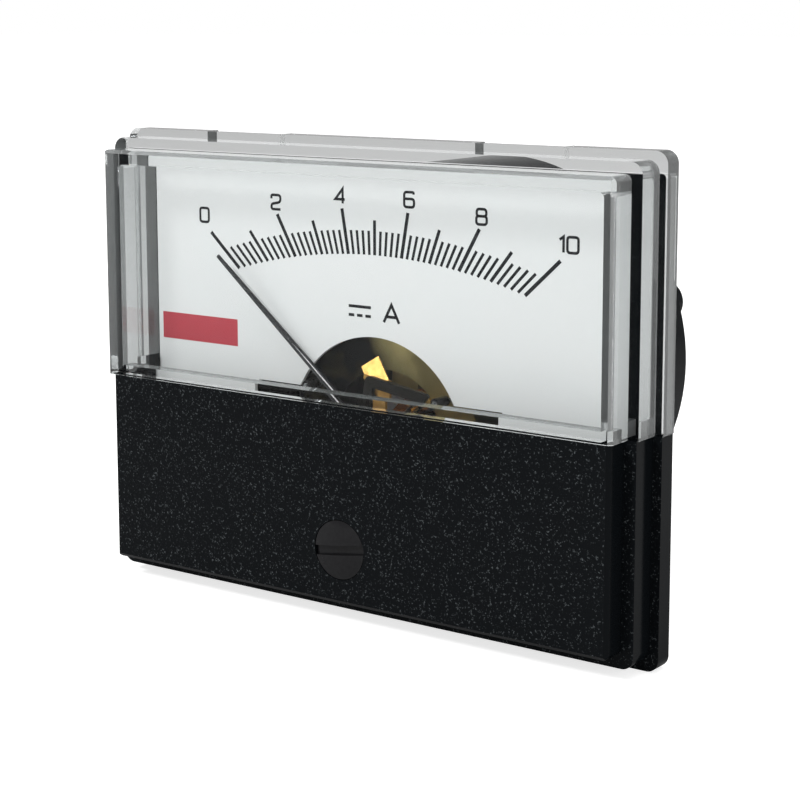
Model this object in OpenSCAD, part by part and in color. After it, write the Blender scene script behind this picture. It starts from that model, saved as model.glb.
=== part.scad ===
// Rectangular moving-coil panel meter with a clear stepped window.
// Frame: +Z up, the front faces -Y, and the origin is the centre of the flange's
// rear face, where the meter lies against its panel. All lengths are millimetres.

/* [Front cover] */
// Overall width of the flange
front_w = 80; // [76:1:96]
// Overall height of the flange
front_h = 59; // [57:1:72]
// Depth of the rear skirt, the widest step
skirt_depth = 2.5; // [2.3:0.1:3.5]
// Depth of the middle step
collar_depth = 3.8; // [3.2:0.1:5]
// Depth of the front step, which carries the pane
window_depth = 3.7; // [3.4:0.1:5]
// Ledge between the skirt and the middle step
collar_step = 1; // [0.6:0.1:1.2]
// Ledge between the middle step and the front step
window_step = 1.35; // [1:0.05:1.6]
// Wall of the skirt
skirt_wall = 0.6; // [0.5:0.05:0.8]
// Wall of the middle step
collar_wall = 1.6; // [1.3:0.1:1.9]
// Wall of the front step
window_wall = 1.9; // [1.6:0.1:2.3]
// Thickness of the clear pane
pane_t = 1.8; // [1.4:0.1:2]
// Thickness of the ledge wall in front of the middle step
ledge_t = 1.4; // [1.1:0.1:1.7]
// Corner radius of the steps
cover_corner_r = 1.5; // [1:0.1:2.5]
// Bevel round the front face
front_bevel = 0.45; // [0.2:0.05:0.7]
// Drop of the joint between window and lower cover below the centre
split_drop = 2.1; // [1.5:0.1:3]
// Thickness of the sill that closes the window at the bottom
sill_t = 1.2; // [1:0.1:2]
// How far the lower cover's front step is inset at the sides
lower_inset = 0.45; // [0.2:0.05:0.6]
// How far the lower cover's face is set back
lower_setback = 0.5; // [0.2:0.05:0.6]
// Width of each lifting notch in the top of the skirt
notch_w = 12; // [8:0.5:16]
// Distance of each lifting notch from the centre
notch_x = 20.6; // [14:0.2:26]

/* [Dial] */
// Gap between the dial plate and the covers' side walls
dial_gap = 0.1; // [0.1:0.05:0.3]
// Thickness of the dial plate
dial_t = 0.5; // [0.4:0.1:0.8]
// Depth of the dial's legs below the centre
dial_foot = 13.5; // [12:0.5:16]
// Half width of the straight slot under the opening
dial_slot_half = 18.5; // [15.5:0.1:19]
// Drop of the slot's upper edge below the centre
dial_slot_drop = 2; // [1.6:0.1:3]
// Distance of each dial screw from the centre
dial_screw_x = 26.6; // [25.5:0.2:30]
// Drop of the dial screws below the centre
dial_screw_drop = 9; // [8:0.5:11]

/* [Movement] */
// Drop of the pointer's axis below the centre
axis_drop = 7.9; // [6.5:0.1:9]
// Sweep of the pointer from zero to full scale, in degrees
sweep_deg = 94.6; // [80:0.2:100]
// Radius of the magnet core
core_r = 5.5; // [5:0.1:6]
// Length of the magnet core
core_l = 10; // [8:0.5:11]
// Flat cut on the core above and below, measured from the axis
core_flat = 5; // [4.6:0.1:5]
// Gap between the core and the coil former
former_gap = 0.45; // [0.3:0.05:0.6]
// Thickness of the coil former
former_t = 0.3; // [0.2:0.05:0.4]
// Width of the coil former
former_w = 3.4; // [3:0.1:4]
// Build-up of the winding on the former
winding_t = 1.2; // [0.8:0.1:1.4]
// Width of the winding
winding_w = 3; // [2.4:0.1:3.4]
// Gap between the winding and the yoke ring
yoke_gap = 1.15; // [0.8:0.05:1.4]
// Metal of the yoke ring outside the clamp studs
yoke_rim = 1.3; // [1.2:0.05:1.4]
// Length of the yoke ring
yoke_l = 12; // [11.5:0.5:13]
// Setback of the yoke ring behind the panel plane
yoke_setback = 1.5; // [1:0.1:2.5]
// Width of the brass core supports
support_w = 4; // [3:0.2:4.4]
// Thickness of the movement plate
mplate_t = 1.5; // [1:0.1:2]
// Thickness of the two bridges
bridge_t = 1; // [0.8:0.1:1.4]
// Width of the two bridges
bridge_w = 4.4; // [4:0.1:4.4]
// Radius of the clamp studs
clamp_r = 0.75; // [0.6:0.05:0.9]
// Outer radius of the spacer tubes
spacer_r = 1.2; // [1.1:0.05:1.3]
// Radius of the pivot shafts
shaft_r = 0.5; // [0.4:0.05:0.6]
// Radius of the pivot tips
tip_r = 0.3; // [0.2:0.05:0.35]
// Outer radius of the hairsprings
spring_r = 5.1; // [4.5:0.1:5.5]
// Number of turns in each hairspring
spring_turns = 4.4; // [3:0.1:5]

/* [Pointer] */
// Length of the pointer from its axis to its tip
pointer_l = 32.1; // [28:0.1:33]
// Width of the pointer at its root
pointer_w = 0.7; // [0.5:0.05:0.9]
// Width of the pointer at its tip
pointer_tip_w = 0.35; // [0.2:0.05:0.5]
// Thickness of the pointer
pointer_t = 0.3; // [0.2:0.05:0.4]
// Lean of the pointer towards the pane, in degrees
pointer_lean = 4.3; // [3.6:0.1:5]
// Gap between the ends of the balance cross and the stops
cross_gap = 0.95; // [0.6:0.05:1.5]
// Length of the tail of the balance cross
tail_l = 10.4; // [9:0.1:11]
// Radius of the soft sleeves on the stops
sleeve_r = 0.65; // [0.55:0.05:0.7]

/* [Zero adjuster] */
// Radius of the slotted head
adj_r = 3.64; // [3:0.1:4.4]
// Height of the adjuster above the flange's lower edge
adj_rise = 9.6; // [9:0.1:10.4]
// Offset of the eccentric pin
adj_throw = 1.2; // [0.8:0.1:1.4]
// Radius of the eccentric pin
adj_pin_r = 0.8; // [0.6:0.05:1]
// Width of the screwdriver slot
adj_slot_w = 1.2; // [0.9:0.1:1.6]

/* [Rear case] */
// Thickness of the base flange behind the covers
plate_t = 1.3; // [1.3:0.05:1.6]
// Outer radius of the barrel
barrel_r = 25.75; // [25.5:0.05:26.5]
// Depth of the barrel behind the panel plane
barrel_depth = 31; // [29:0.5:36]
// Wall of the barrel
barrel_wall = 2; // [1.5:0.1:2.2]
// Thickness of the barrel's rear wall
rear_wall = 2.4; // [2:0.1:3]
// Distance of the movement screws from the barrel's bore
post_inset = 4.1; // [4:0.05:4.3]
// Radius of the movement posts
post_r = 2.8; // [2.6:0.05:2.85]

/* [Fixings] */
// Distance of the mounting studs from the flange's sides
mount_side = 9; // [7:0.5:10]
// Distance of the mounting studs from the flange's upper and lower edges
mount_edge = 7.5; // [6.5:0.5:9]
// Radius of the mounting studs (M3)
mount_r = 1.5; // [1.25:0.25:2]
// Length of the mounting studs behind the panel plane
mount_l = 11; // [8:0.5:14]
// Distance of the cover screws from the flange's sides
cover_screw_side = 16; // [15:0.5:18]
// Height of the cover screws above the flange's lower edge
cover_screw_rise = 6.3; // [5.9:0.1:6.5]
// Distance of the terminals from the centre line
term_x = 12.7; // [11:0.1:14]
// Height of the terminals above the centre
term_z = 4; // [3:0.5:6]
// Radius of the terminal studs (M4)
term_r = 2; // [1.5:0.5:2.5]
// Length of the terminal studs behind the barrel
term_l = 11; // [10.5:0.5:16]
// Radius of the two round bosses on the barrel's rear
boss_r = 2.8; // [2.4:0.1:3]
// Height of the bosses
boss_l = 2.6; // [1:0.2:4]

/* [Hidden] */
$fn = 64;

// clearances
fit = 0.1;       // between mouldings that slide together
run_fit = 0.05;  // radial running clearance of shafts and pins
snug = 0.03;     // radial clearance of screws and studs in their holes
e = 0.01;        // overlap used only inside one difference or union

// front cover, from the pane backwards
front_y = -(skirt_depth + collar_depth + window_depth);
collar_y = front_y + window_depth;
skirt_y = front_y + window_depth + collar_depth;
plate_y = -plate_t;
collar_w = front_w - 2 * collar_step;
collar_h = front_h - 2 * collar_step;
window_w = collar_w - 2 * window_step;
window_h = collar_h - 2 * window_step;
pane_back = front_y + pane_t;
ledge_back = collar_y + ledge_t;
plate_w = front_w - 2 * skirt_wall - 2 * fit;
plate_h = front_h - 2 * skirt_wall - 2 * fit;
plate_top = collar_h / 2 - collar_wall;
split_z = -split_drop;
notch_l = 1.8;   // reach of the lifting notches into the skirt
notch_d = 1.2;   // depth of the notches
inner_r = 0.6;   // corner radius of the cavities

// dial, which fills the cover's hollow
dial_front = plate_y; // the dial lies flush in a recess of the base
seat_y = dial_front + dial_t;
inner_x = window_w / 2 - window_wall; // half width of the covers' hollow
dial_w = 2 * (inner_x - dial_gap);
dial_top_gap = 0.2;
dial_top = collar_h / 2 - collar_wall - dial_top_gap;
dial_corner_r = 1;
hook_over = 1.4; // how far the base's hooks reach over the dial
hook_t = 0.75;   // thickness of their lips
hook_h = 4.6;    // height of the hooks
hook_top = -0.4; // height of their upper end
hook_r = 0.8;    // radius of their corner
hook_out = 1.1;  // how far the hooks stand in the covers' side walls
hook_edge = inner_x + hook_out;
dial_screw_r = 0.9;
dial_screw_head = 1.7;
dial_screw_head_t = 0.9;

// places across the movement, counted inwards from the barrel
bore_r = barrel_r - barrel_wall;
post_x = sqrt(pow(bore_r - post_inset, 2) - pow(axis_drop, 2));
bridge_gap = 0.3; // between a bridge's end and the movement posts
clamp_x = post_x - post_r - bridge_gap - bridge_w / 2;
yoke_out = clamp_x + yoke_rim;
stop_inset = 1.1; // from the clamp studs' circle to the stops' circle
stop_reach = clamp_x - stop_inset;
opening_gap = 0.85; // between the stops' sleeves and the rim of the dial's opening
dial_opening_r = stop_reach + sleeve_r + opening_gap;
side_arm_l = stop_reach - sleeve_r - cross_gap;

// movement, along its axis
axis_z = -axis_drop;
half_sweep = sweep_deg / 2;
yoke_y = yoke_setback;
yoke_back_y = yoke_y + yoke_l;
core_y = yoke_y + (yoke_l - core_l) / 2 + 0.5;
coil_end_gap = 0.7;
former_in = core_r + former_gap;
former_out = former_in + former_t;
winding_out = former_out + winding_t;
former_y0 = core_y - coil_end_gap - former_t;
former_y1 = core_y + core_l + coil_end_gap + former_t;
coil_y0 = former_y0 - winding_t;
coil_y1 = former_y1 + winding_t;
yoke_in = winding_out + yoke_gap;
pocket_z = yoke_in + 0.4;
support_inset = 2;
support_y = core_y + support_inset;
support_l = core_l - 2 * support_inset;
mplate_y = yoke_back_y;
mplate_hole = yoke_in + 0.9;
mplate_back = mplate_y + mplate_t;
ear_r = 3.4;     // ends of the movement plate
mscrew_r = 1.25; // movement screws (M2.5)
mscrew_head = 2.1;
mscrew_head_t = 1.2;
mscrew_l = 6;

// pointer and pivots
pointer_y = seat_y;
hub_r = 2.2;
hub_t = 0.8;
hub_seat_r = 0.9; // shoulder that the pointer's hub rests on
arm_r = 0.35;    // side arms and tail
side_arm_deg = 96;
weight_r = 0.9;
weight_l = 1.7;
weight_inset = 0.4;
collet_r = 1.1;
collet_t = 0.4;
front_reach = 2.2;   // pointer to the front bridge
rear_reach = 2.3;    // coil to the rear bridge
spring_reach = 1.3;  // rear spring to the rear bridge
bridge_back = pointer_y - front_reach;
bridge_front = bridge_back - bridge_t;
front_spring_y = bridge_back + 0.3;
rear_bridge_y = coil_y1 + rear_reach;
rear_spring_y = rear_bridge_y - spring_reach;
spring_t = 0.12;
spring_h = 0.4;
spring_in = collet_r + spring_t + run_fit; // outside of the innermost turn
pivot_base_r = 1.5;
pivot_base_t = 0.6;
shaft_end_gap = 0.3; // shoulder of a shaft to its bridge
tip_l = 0.75;
jewel_r = 1;
jewel_proud = 0.15;
jewel_cup_r = tip_r + run_fit;
jewel_cup_l = 0.7;

// zero lever and bridges' hardware
lever_t = 0.6;
lever_back = bridge_front - 0.1;
lever_front = lever_back - lever_t;
lever_ring = 2.4;
lever_w = 1.3;
fork_slot = 2 * adj_pin_r + 0.16;
fork_wall = 1;
fork_w = fork_slot + 2 * fork_wall;
adj_drop = front_h / 2 - adj_rise;
pin_reach = adj_drop - axis_drop - adj_throw;
nut_af = 3.2;    // across flats of the small nuts
nut_t = 1;
jewel_front = lever_front - 0.1 - nut_t - 0.4;
rear_bridge_back = rear_bridge_y + bridge_t;
jewel_rear = rear_bridge_back + nut_t + 0.4;
clamp_l_front = bridge_front - nut_t - 0.3;
clamp_l_rear = rear_bridge_back + nut_t + 0.3;
arm_bend_x = 1.6; // corner of the lever's spring arm
arm_bend_z = 8.3;
arm_end_x = 9.2;
arm_end_z = 7.1;
tab_deg = atan2(arm_bend_x, arm_bend_z);
tab_t = 0.7;     // thickness of the tabs that hold the hairsprings' outer ends

// upright ear of the front bridge: outline of its flat part, then of its bent top
// along the fold line; both are counted from the pointer's axis
ear_t = 0.4;
ear_flat = [[2.4, 2], [4, 2], [4.2, 8.5], [0.4, 9.15], [0.2, 8.5], [2.2, 6.5]];
ear_fold = [0.4, 9.15];
ear_fold_deg = -9.7;
ear_top = [[0, -0.1], [3.85, -0.1], [0.8, 2.5], [-0.78, 0.6]];
ear_lean = 30;

// stops: the zero lever can add lever_deg to either end of the sweep
lever_deg = 3.3;
overtravel_deg = 1.5;
stop_gap = 0.16;
stop_pin_r = 0.35;
stop_sink = 2;   // depth of the stop pins in the yoke ring
stop_deg = half_sweep + lever_deg + overtravel_deg
    + asin((sleeve_r + pointer_w / 2 + stop_gap) / stop_reach);
stop_front = pointer_y - 1.9;
sleeve_l = 2.2;

// zero adjuster
adj_z = -adj_drop;
adj_wall_front = front_y + lower_setback;
adj_counterbore = 1.1;
adj_head_proud = 0.3;
adj_stem_r = 2.4;
adj_boss_r = adj_stem_r + 2.6;
adj_boss_back = pane_back + 1.2;
adj_seat = adj_wall_front + adj_counterbore;
adj_barb_r = 2.8;
adj_barb_t = 0.55;
adj_barb_y = adj_boss_back + 0.05;
adj_slot_d = 0.7;
adj_dome = 0.35;

// rear case
rear_in = barrel_depth - rear_wall;
boss_x = 20.6;   // places of the two round bosses
boss_z = 7.2;
rim_chamfer = 0.8;
pad_r = 5;
pad_t = 1;
pad_y = barrel_depth + pad_t;
post_hole_l = mscrew_l + 2;
cscrew_r = 0.85; // cover screws
cscrew_head = 2;
cscrew_head_t = 0.8;
cscrew_post_r = 2.2;
cscrew_l = 6;
cover_screw_drop = front_h / 2 - cover_screw_rise;
cover_screw_x = front_w / 2 - cover_screw_side;
mount_x = front_w / 2 - mount_side;
mount_z = front_h / 2 - mount_edge;
mount_head_r = mount_r + 0.9; // anchor of a stud, pressed in from the front
mount_head_t = 0.4;
mount_shank_r = mount_r + 0.4; // its knurled shank in the flange

// terminals, from the inside outwards
strip_t = 0.8;
strip_w = 6;
strip_over = 3.2; // strip beyond each stud's axis
term_head_r = 3.4;
term_head_t = 2.4;
term_nut_af = 7;
term_nut_t = 2.4;
tag_t = 0.6;
tag_l = 10;
tag_w = 5.5;
tag_eye_r = 3.6;
tag_hole_r = 1.2;
term_washer_r = 4;
term_washer_t = 0.8;
term_head_y = rear_in - strip_t - term_head_t;
term_tag_y = pad_y + term_nut_t;
term_washer_y = term_tag_y + tag_t;
term_outer_y = term_washer_y + term_washer_t;

// Cylinder along +Y from y0 to y1, at (x, z)
module rod(r, y0, y1, x = 0, z = 0, sides = $fn) {
    translate([x, y0, z]) rotate([-90, 0, 0]) cylinder(r = r, h = y1 - y0, $fn = sides);
}

// Flat XZ outline made into a slab from y0 to y1
module slab(y0, y1) {
    translate([0, y1, 0]) rotate([90, 0, 0]) linear_extrude(y1 - y0) children();
}

// Hexagon nut across flats af, with a bore
module hex_nut(af, bore, y0, y1, x = 0, z = 0) {
    difference() {
        translate([x, y0, z]) rotate([-90, 0, 0])
            cylinder(r = af / 2 / cos(30), h = y1 - y0, $fn = 6);
        rod(bore, y0 - e, y1 + e, x, z);
    }
}

// Rectangle with true round corners, centred
module rounded(w, h, r) {
    square([w - 2 * r, h], center = true);
    square([w, h - 2 * r], center = true);
    for (sx = [-1, 1], sz = [-1, 1])
        translate([sx * (w / 2 - r), sz * (h / 2 - r)]) circle(r);
}

// Flat link with round ends between two points
module link(p, q, w) {
    d = q - p;
    translate(p) rotate(atan2(d.y, d.x)) translate([0, -w / 2]) square([norm(d), w]);
    for (c = [p, q]) translate(c) circle(d = w);
}

// Places children on the pointer's axis
module on_axis() {
    translate([0, 0, axis_z]) children();
}

// Turns children with the pointer; 0 is upright, so rest is at minus half the sweep
module at_rest() {
    on_axis() rotate([0, -half_sweep, 0]) children();
}

// ---- front cover ----

// Outer form of the three steps; inset and setback serve the lower cover, whose
// sides draw in step by step towards the front
module cover_steps(inset = 0, setback = 0) {
    skirt_in = inset / 4;
    collar_in = inset / 2;
    slab(skirt_y, 0) rounded(front_w - 2 * skirt_in, front_h - 2 * skirt_in, cover_corner_r);
    slab(collar_y, skirt_y + e)
        rounded(collar_w - 2 * collar_in, collar_h - 2 * collar_in, cover_corner_r);
    difference() {
        slab(front_y + setback, collar_y + e)
            rounded(window_w - 2 * inset, window_h - 2 * inset, cover_corner_r / 2);
        face_bevel(window_w - 2 * inset, window_h - 2 * inset, front_y + setback);
    }
}

// Four wedges that bevel the edges of a front face at y
module face_bevel(w, h, y) {
    b = front_bevel * sqrt(2);
    for (s = [-1, 1]) {
        translate([s * w / 2, y, 0]) rotate([0, 0, 45]) cube([b, b, 2 * h], center = true);
        translate([0, y, s * h / 2]) rotate([45, 0, 0]) cube([2 * w, b, b], center = true);
    }
}

// Space inside the covers, the same for both so that they line up
module cover_cavity() {
    slab(pane_back, ledge_back + e)
        rounded(2 * inner_x, window_h - 2 * window_wall, inner_r);
    slab(ledge_back, plate_y + e) rounded(2 * inner_x, collar_h - 2 * collar_wall, inner_r);
    // pockets for the base's dial hooks
    slab(ledge_back, plate_y + e) translate([0, hook_top - hook_h / 2])
        square([2 * (hook_edge + dial_gap), hook_h + 2 * dial_gap], center = true);
    slab(plate_y, e) plate_outline(fit);
}

// Outline of the base's plate, which is lower at the top than the skirt
module plate_outline(grow = 0) {
    low = -plate_h / 2;
    translate([0, (plate_top + low) / 2])
        rounded(plate_w + 2 * grow, plate_top - low + 2 * grow, inner_r);
}

// Half space above (s = 1) or below (s = -1) the joint of the two covers
module joint_half(s) {
    size = 2 * front_w;
    translate([0, 0, split_z + s * size / 2]) cube([size, size, size], center = true);
}

// Notches in the top of the skirt, where a blade lifts the window off
module lift_notches() {
    for (s = [-1, 1]) translate([s * notch_x, 0, front_h / 2])
        cube([notch_w, notch_l * 2, notch_d * 2], center = true);
}

module window_cover() {
    color("white", 0.35) {
        difference() {
            intersection() {
                cover_steps();
                joint_half(1);
            }
            cover_cavity();
            lift_notches();
        }
        // sill that closes the front step at the bottom
        translate([-window_w / 2 + window_wall - e, pane_back - e, split_z])
            cube([window_w - 2 * window_wall + 2 * e, collar_y - pane_back + e, sill_t]);
    }
}

module lower_cover() {
    color("#16181a") difference() {
        union() {
            difference() {
                intersection() {
                    cover_steps(lower_inset, lower_setback);
                    joint_half(-1);
                }
                cover_cavity();
            }
            rod(adj_boss_r, adj_wall_front + e, adj_boss_back, 0, adj_z);
            for (s = [-1, 1])
                rod(cscrew_post_r, pane_back - e, plate_y, s * cover_screw_x, -cover_screw_drop);
        }
        rod(adj_r + fit, adj_wall_front - 1, adj_seat, 0, adj_z);
        rod(adj_stem_r + run_fit, adj_seat - e, adj_boss_back + 1, 0, adj_z);
        for (s = [-1, 1])
            rod(cscrew_r + snug, plate_y - cscrew_l, 1, s * cover_screw_x, -cover_screw_drop);
    }
}

module cover_screws() {
    color("silver") for (s = [-1, 1]) difference() {
        union() {
            rod(cscrew_head, -cscrew_head_t, 0, s * cover_screw_x, -cover_screw_drop);
            rod(cscrew_r, plate_y - cscrew_l + 1, -cscrew_head_t + e,
                s * cover_screw_x, -cover_screw_drop);
        }
        for (turn = [0, 90])
            translate([s * cover_screw_x, 0, -cover_screw_drop]) rotate([0, turn, 0])
                cube([cscrew_head * 1.2, cscrew_head_t, 0.5], center = true);
    }
}

// ---- zero adjustment ----

module zero_adjuster() {
    head_y = adj_wall_front - adj_head_proud;
    color("#101112") translate([0, 0, adj_z]) {
        difference() {
            union() {
                // domed head, turned about its own axis
                translate([0, head_y + adj_dome, 0]) rotate([90, 0, 0]) dome(adj_r, adj_dome);
                rod(adj_r, head_y + adj_dome - e, adj_seat - run_fit);
                rod(adj_stem_r, adj_seat - run_fit - e, adj_barb_y + e);
            }
            translate([0, head_y, 0]) rotate([0, -8, 0])
                cube([3 * adj_r, 2 * adj_slot_d, adj_slot_w], center = true);
        }
        rod(adj_barb_r, adj_barb_y, adj_barb_y + adj_barb_t);
        rod(adj_pin_r, adj_barb_y + adj_barb_t - e, lever_back + 0.2, 0, adj_throw);
    }
}

// Shallow spherical cap of base radius r and height h, standing on z = 0
module dome(r, h) {
    ball = (r * r + h * h) / 2 / h;
    rotate_extrude() intersection() {
        translate([0, h - ball]) circle(ball, $fn = 180);
        square([r, h]);
    }
}

// Flat lever on the front bridge: a fork below, a spring tab and a side arm above
module zero_lever() {
    color("#1c1c1c") on_axis() {
        difference() {
            slab(lever_front, lever_back) {
                circle(lever_ring);
                translate([-fork_w / 2, -pin_reach - adj_throw - 0.6])
                    square([fork_w, pin_reach + adj_throw + 0.6 - lever_ring / 2]);
                link([0, 0], [arm_bend_x, arm_bend_z], lever_w);
                link([arm_bend_x, arm_bend_z], [arm_end_x, arm_end_z], lever_w);
            }
            rod(jewel_r + run_fit, lever_front - 1, lever_back + 1);
            translate([-fork_slot / 2, lever_front - 1, -pin_reach - adj_throw - 2])
                cube([fork_slot, lever_t + 2, 2 * adj_throw + 2.6]);
        }
        // tab that reaches back to the hairspring's outer end
        rotate([0, tab_deg, 0])
            translate([-lever_w / 2, lever_back - e, spring_r])
                cube([lever_w, front_spring_y + spring_h - lever_back, tab_t]);
    }
}

// Flat spiral from the collet outwards, ending at end_deg clockwise from the top
module spiral(end_deg) {
    steps = round(spring_turns * 24);
    turn = spring_turns * 360;
    function radius(i) = spring_in + (spring_r - spring_in) * i / steps;
    function point(i, out) = let (a = 90 - end_deg + turn * (1 - i / steps), r = radius(i) + out)
        [r * cos(a), r * sin(a)];
    polygon([
        for (i = [0 : steps]) point(i, 0),
        for (i = [steps : -1 : 0]) point(i, -spring_t)
    ]);
}

module front_hairspring() {
    color("goldenrod") on_axis() slab(front_spring_y, front_spring_y + spring_h) spiral(tab_deg);
}

module rear_hairspring() {
    color("goldenrod") on_axis() slab(rear_spring_y, rear_spring_y + spring_h) spiral(90);
}

// ---- dial ----

// Outline of the dial's blank, grown for its recess
module dial_blank(grow = 0) {
    translate([0, (dial_top - dial_foot) / 2])
        rounded(dial_w + 2 * grow, dial_foot + dial_top + 2 * grow, dial_corner_r);
}

module dial_outline() {
    difference() {
        dial_blank();
        intersection() {
            translate([0, axis_z]) circle(dial_opening_r, $fn = 128);
            translate([-dial_w, -dial_slot_drop - e]) square([2 * dial_w, dial_w]);
        }
        translate([-dial_slot_half, -dial_foot - 1])
            square([2 * dial_slot_half, dial_foot + 1 - dial_slot_drop]);
        for (s = [-1, 1])
            translate([s * dial_screw_x, -dial_screw_drop]) circle(dial_screw_r + fit);
    }
}

module dial_plate() {
    color("whitesmoke") slab(dial_front, seat_y) dial_outline();
}

module dial_screws() {
    color("silver") for (s = [-1, 1]) translate([s * dial_screw_x, 0, -dial_screw_drop])
        difference() {
            union() {
                rod(dial_screw_head, dial_front - dial_screw_head_t, dial_front);
                rod(dial_screw_r, dial_front - e, -0.2);
            }
            translate([0, dial_front - dial_screw_head_t, 0])
                cube([4 * dial_screw_r, 0.8, 0.45], center = true);
        }
}

// ---- moving element ----

module pointer() {
    color("#202122") at_rest() {
        difference() {
            rod(hub_r, pointer_y - hub_t / 2, pointer_y + hub_t / 2);
            rod(shaft_r + snug, pointer_y - hub_t, pointer_y + hub_t);
        }
        // needle, leaning towards the pane as it goes outwards
        translate([0, pointer_y, 0]) rotate([pointer_lean, 0, 0])
            slab(-pointer_t / 2, pointer_t / 2) polygon([
                [-pointer_w / 2, hub_r - 0.3], [pointer_w / 2, hub_r - 0.3],
                [pointer_tip_w / 2, pointer_l], [-pointer_tip_w / 2, pointer_l]]);
        cross_arm(side_arm_deg, side_arm_l);
        cross_arm(-side_arm_deg, side_arm_l);
        cross_arm(180, tail_l);
    }
}

module cross_arm(angle, length) {
    rotate([0, angle, 0]) translate([0, pointer_y, hub_r - 0.3])
        cylinder(r = arm_r, h = length - hub_r + 0.3, $fn = 24);
}

// Small wound weights pushed over the ends of the cross
module balance_weights() {
    color("gold") at_rest()
        for (a = [[side_arm_deg, side_arm_l], [-side_arm_deg, side_arm_l], [180, tail_l]])
            rotate([0, a[0], 0])
                translate([0, pointer_y, a[1] - weight_l - weight_inset]) difference() {
                    cylinder(r = weight_r, h = weight_l, $fn = 32);
                    translate([0, 0, -1]) cylinder(r = arm_r, h = weight_l + 2, $fn = 24);
                }
}

// Rectangular loop round the core: half width in, thickness t, width w, ends at y0 and y1
module coil_loop(half_in, t, w, y0, y1) {
    difference() {
        translate([-half_in - t, y0, -w / 2]) cube([2 * (half_in + t), y1 - y0, w]);
        translate([-half_in, y0 + t, -w]) cube([2 * half_in, y1 - y0 - 2 * t, 2 * w]);
    }
}

module coil_former() {
    color("silver") at_rest() coil_loop(former_in, former_t, former_w, former_y0, former_y1);
}

module coil_winding() {
    color("peru") at_rest() coil_loop(former_out, winding_t, winding_w, coil_y0, coil_y1);
}

module front_pivot() {
    shoulder = bridge_back + shaft_end_gap;
    color("lightsteelblue") on_axis() {
        rod(pivot_base_r, coil_y0 - pivot_base_t, coil_y0);
        rod(hub_seat_r, pointer_y + hub_t / 2, coil_y0 - e);
        rod(shaft_r, shoulder, coil_y0 - e);
        rod(tip_r, shoulder - tip_l, shoulder + e);
        rod(collet_r, front_spring_y, front_spring_y + collet_t);
    }
}

module rear_pivot() {
    shoulder = rear_bridge_y - shaft_end_gap;
    color("lightsteelblue") on_axis() {
        rod(pivot_base_r, coil_y1, coil_y1 + pivot_base_t);
        rod(shaft_r, coil_y1 + e, shoulder);
        rod(tip_r, shoulder - e, shoulder + tip_l);
        rod(collet_r, rear_spring_y, rear_spring_y + collet_t);
    }
}

// ---- fixed movement ----

// Flat-bottomed pockets seat the core supports above and below the core
module yoke_ring() {
    color("#b59a3c") on_axis() difference() {
        rod(yoke_out, yoke_y, yoke_back_y, sides = 96);
        rod(yoke_in, yoke_y - 1, yoke_back_y + 1, sides = 96);
        for (s = [-1, 1]) {
            translate([-support_w / 2, support_y, s > 0 ? 0 : -pocket_z])
                cube([support_w, support_l, pocket_z]);
            rod(clamp_r + snug, yoke_y - 1, yoke_back_y + 1, s * clamp_x);
            stop_at(s) rod(stop_pin_r + snug, yoke_y - 1, yoke_y + stop_sink);
        }
    }
}

module core_magnet() {
    color("dimgray") on_axis() intersection() {
        rod(core_r, core_y, core_y + core_l);
        translate([-core_r - 1, core_y - 1, -core_flat])
            cube([2 * core_r + 2, core_l + 2, 2 * core_flat]);
    }
}

module core_supports() {
    color("gold") on_axis() for (s = [-1, 1])
        translate([-support_w / 2, support_y, s > 0 ? core_flat : -pocket_z])
            cube([support_w, support_l, pocket_z - core_flat]);
}

module movement_plate() {
    color("#c8a94a") on_axis() difference() {
        slab(mplate_y, mplate_back) {
            circle(yoke_out);
            link([-post_x, 0], [post_x, 0], 2 * ear_r);
        }
        rod(mplate_hole, mplate_y - 1, mplate_back + 1);
        for (s = [-1, 1]) {
            rod(clamp_r + snug, mplate_y - 1, mplate_back + 1, s * clamp_x);
            rod(mscrew_r + fit, mplate_y - 1, mplate_back + 1, s * post_x);
        }
    }
}

module movement_screws() {
    color("silver") on_axis() for (s = [-1, 1]) difference() {
        union() {
            rod(mscrew_head, mplate_y - mscrew_head_t, mplate_y, s * post_x);
            rod(mscrew_r, mplate_y - e, mplate_back + mscrew_l, s * post_x);
        }
        translate([s * post_x, mplate_y - mscrew_head_t, 0])
            cube([3 * mscrew_head, 1.2, 0.6], center = true);
    }
}

// Strap that carries one jewel screw between the clamp studs
module bridge(y0) {
    difference() {
        slab(y0, y0 + bridge_t) link([-clamp_x, 0], [clamp_x, 0], bridge_w);
        rod(jewel_r + snug, y0 - 1, y0 + bridge_t + 1);
        for (s = [-1, 1]) rod(clamp_r + snug, y0 - 1, y0 + bridge_t + 1, s * clamp_x);
    }
}

// The front bridge also has an upright ear whose top is bent back
module front_bridge() {
    color("gold") on_axis() {
        bridge(bridge_front);
        slab(bridge_front, bridge_front + ear_t) polygon(ear_flat);
        translate([ear_fold.x, bridge_front, ear_fold.y])
            rotate([0, -ear_fold_deg, 0]) rotate([-ear_lean, 0, 0])
                slab(0, ear_t) polygon(ear_top);
    }
}

// The rear bridge also carries a post for the rear hairspring's outer end
module rear_bridge() {
    color("gold") on_axis() {
        bridge(rear_bridge_y);
        translate([spring_r, rear_spring_y, -lever_w / 2])
            cube([tab_t, rear_bridge_y - rear_spring_y + e, lever_w]);
    }
}

module clamp_studs() {
    color("silver") on_axis() for (s = [-1, 1])
        rod(clamp_r, clamp_l_front, clamp_l_rear, s * clamp_x);
}

module spacer_pair(y0, y1) {
    color("gold") on_axis() for (s = [-1, 1]) difference() {
        rod(spacer_r, y0, y1, s * clamp_x);
        rod(clamp_r + snug, y0 - 1, y1 + 1, s * clamp_x);
    }
}

module front_spacers() {
    spacer_pair(bridge_back, yoke_y);
}

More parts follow.
